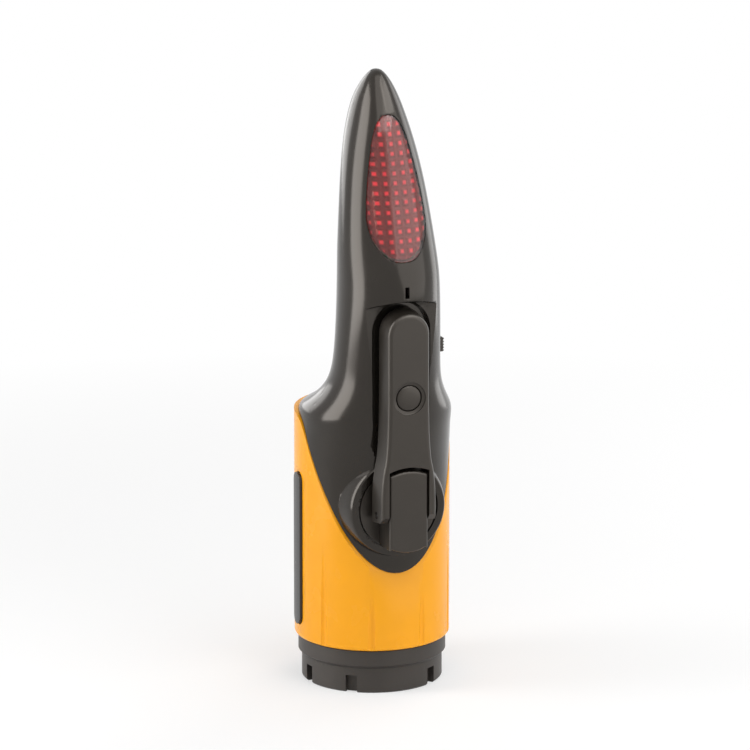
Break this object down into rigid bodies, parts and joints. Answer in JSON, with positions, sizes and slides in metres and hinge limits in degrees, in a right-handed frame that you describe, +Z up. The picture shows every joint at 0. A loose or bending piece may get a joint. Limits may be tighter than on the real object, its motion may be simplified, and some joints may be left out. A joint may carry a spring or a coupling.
{
  "type": "hand crank flashlight",
  "caption": "Upright hand crank flashlight with a curved black handle, yellow barrel sleeve, red flasher lens, folding crank, belt cutter and glass breaker.",
  "frame": {"origin": "Centre of the bounding box's foot, in the plane of the bezel's rim. The barrel's own axis stands 3.15 mm behind it, at y = +0.00315.", "axes": "+Z up the barrel's axis, from the lamp end to the handle's tip. -Y towards the crank. +X to the right as seen from the crank's side."},
  "size_m": [0.0542, 0.0672, 0.211],
  "materials": {
    "housing_black": "glossy moulded",
    "crank_black": "semi-gloss moulded",
    "matte_black": "matte moulded",
    "sleeve_yellow": "glossy moulded",
    "strip_rubber": "matte",
    "lens_red": "clear tinted, prisms inside",
    "guard_red": "semi-gloss moulded",
    "lens_clear": "clear moulded",
    "reflector_mirror": "vacuum metallised",
    "bright_steel": "bright plated",
    "bush_brass": "turned",
    "natural_white": "natural moulded",
    "board_green": "solder mask",
    "cell_wrap": "shrink wrap"
  },
  "bodies": {
    "housing": {"front_bezel": "matte_black", "lens_seal": "strip_rubber", "lamp_lens": "lens_clear", "reflector": "reflector_mirror", "lamp_board": "board_green", "lamp_led": "natural_white", "base_magnet_1": "bright_steel", "base_magnet_2": "bright_steel", "base_magnet_3": "bright_steel", "breaker_guard": "guard_red", "breaker_tip": "bright_steel", "barrel_sleeve": "sleeve_yellow", "grip_strip_left": "strip_rubber", "grip_strip_right": "strip_rubber", "housing_front": "housing_black", "housing_back": "housing_black", "housing_screw_1": "bright_steel", "housing_screw_2": "bright_steel", "indicator_window": "lens_red", "belt_blade": "bright_steel", "lanyard_bar": "bright_steel", "flasher_lens": "lens_red", "flasher_board": "board_green", "flasher_led_1": "lens_red", "flasher_led_2": "lens_red", "flasher_led_3": "lens_red", "control_board": "board_green", "switch_body": "matte_black", "charge_jack": "matte_black", "battery_tray": "matte_black", "battery_cell_1": "cell_wrap", "battery_cell_2": "cell_wrap", "battery_cell_3": "cell_wrap", "gearbox_plate": "bright_steel", "gearbox_screw_1": "bright_steel", "gearbox_screw_2": "bright_steel", "gearbox_screw_3": "bright_steel", "gearbox_screw_4": "bright_steel", "crank_bush": "bush_brass", "idler_arbor": "bright_steel", "generator_case": "bright_steel"},
    "crank": {"crank_hub": "crank_black", "crank_shaft": "bright_steel", "crank_gear": "natural_white", "hinge_pin": "bright_steel"},
    "arm": {"crank_arm": "crank_black", "knob_pin": "bright_steel", "pivot_cap": "crank_black"},
    "stem": {"knob_stem": "bright_steel"},
    "knob": {"knob_grip": "crank_black"},
    "idler": {"idler_gear": "natural_white"},
    "rotor": {"generator_rotor": "bright_steel"},
    "slider": {"switch_slider": "matte_black"}
  },
  "joints": [
    {"name": "crank_spin", "type": "hinge", "parent": "housing", "child": "crank", "pos_m": [0, -0.02285, 0.065], "axis": [0, -1, 0], "continuous": true},
    {"name": "crank_fold", "type": "hinge", "parent": "crank", "child": "arm", "pos_m": [0, -0.02885, 0.065], "axis": [1, 0, 0], "range_deg": [0, 168]},
    {"name": "knob_fold", "type": "hinge", "parent": "arm", "child": "stem", "pos_m": [0, -0.02925, 0.1055], "axis": [-1, 0, 0], "range_deg": [0, 90]},
    {"name": "knob_spin", "type": "hinge", "parent": "stem", "child": "knob", "pos_m": [0, -0.02925, 0.1055], "axis": [0, 0, 1], "continuous": true},
    {"name": "idler_spin", "type": "hinge", "parent": "housing", "child": "idler", "pos_m": [0, -0.00945, 0.04995], "axis": [0, -1, 0], "continuous": true},
    {"name": "rotor_spin", "type": "hinge", "parent": "housing", "child": "rotor", "pos_m": [0, -0.00665, 0.0384], "axis": [0, -1, 0], "continuous": true},
    {"name": "switch_slide", "type": "slide", "parent": "housing", "child": "slider", "axis": [0, 0, 1], "range_m": [0, 0.008]}
  ],
  "couplings": [
    {"joint": "idler_spin", "follows": "crank_spin", "ratio": -4},
    {"joint": "rotor_spin", "follows": "crank_spin", "ratio": 14.4}
  ]
}
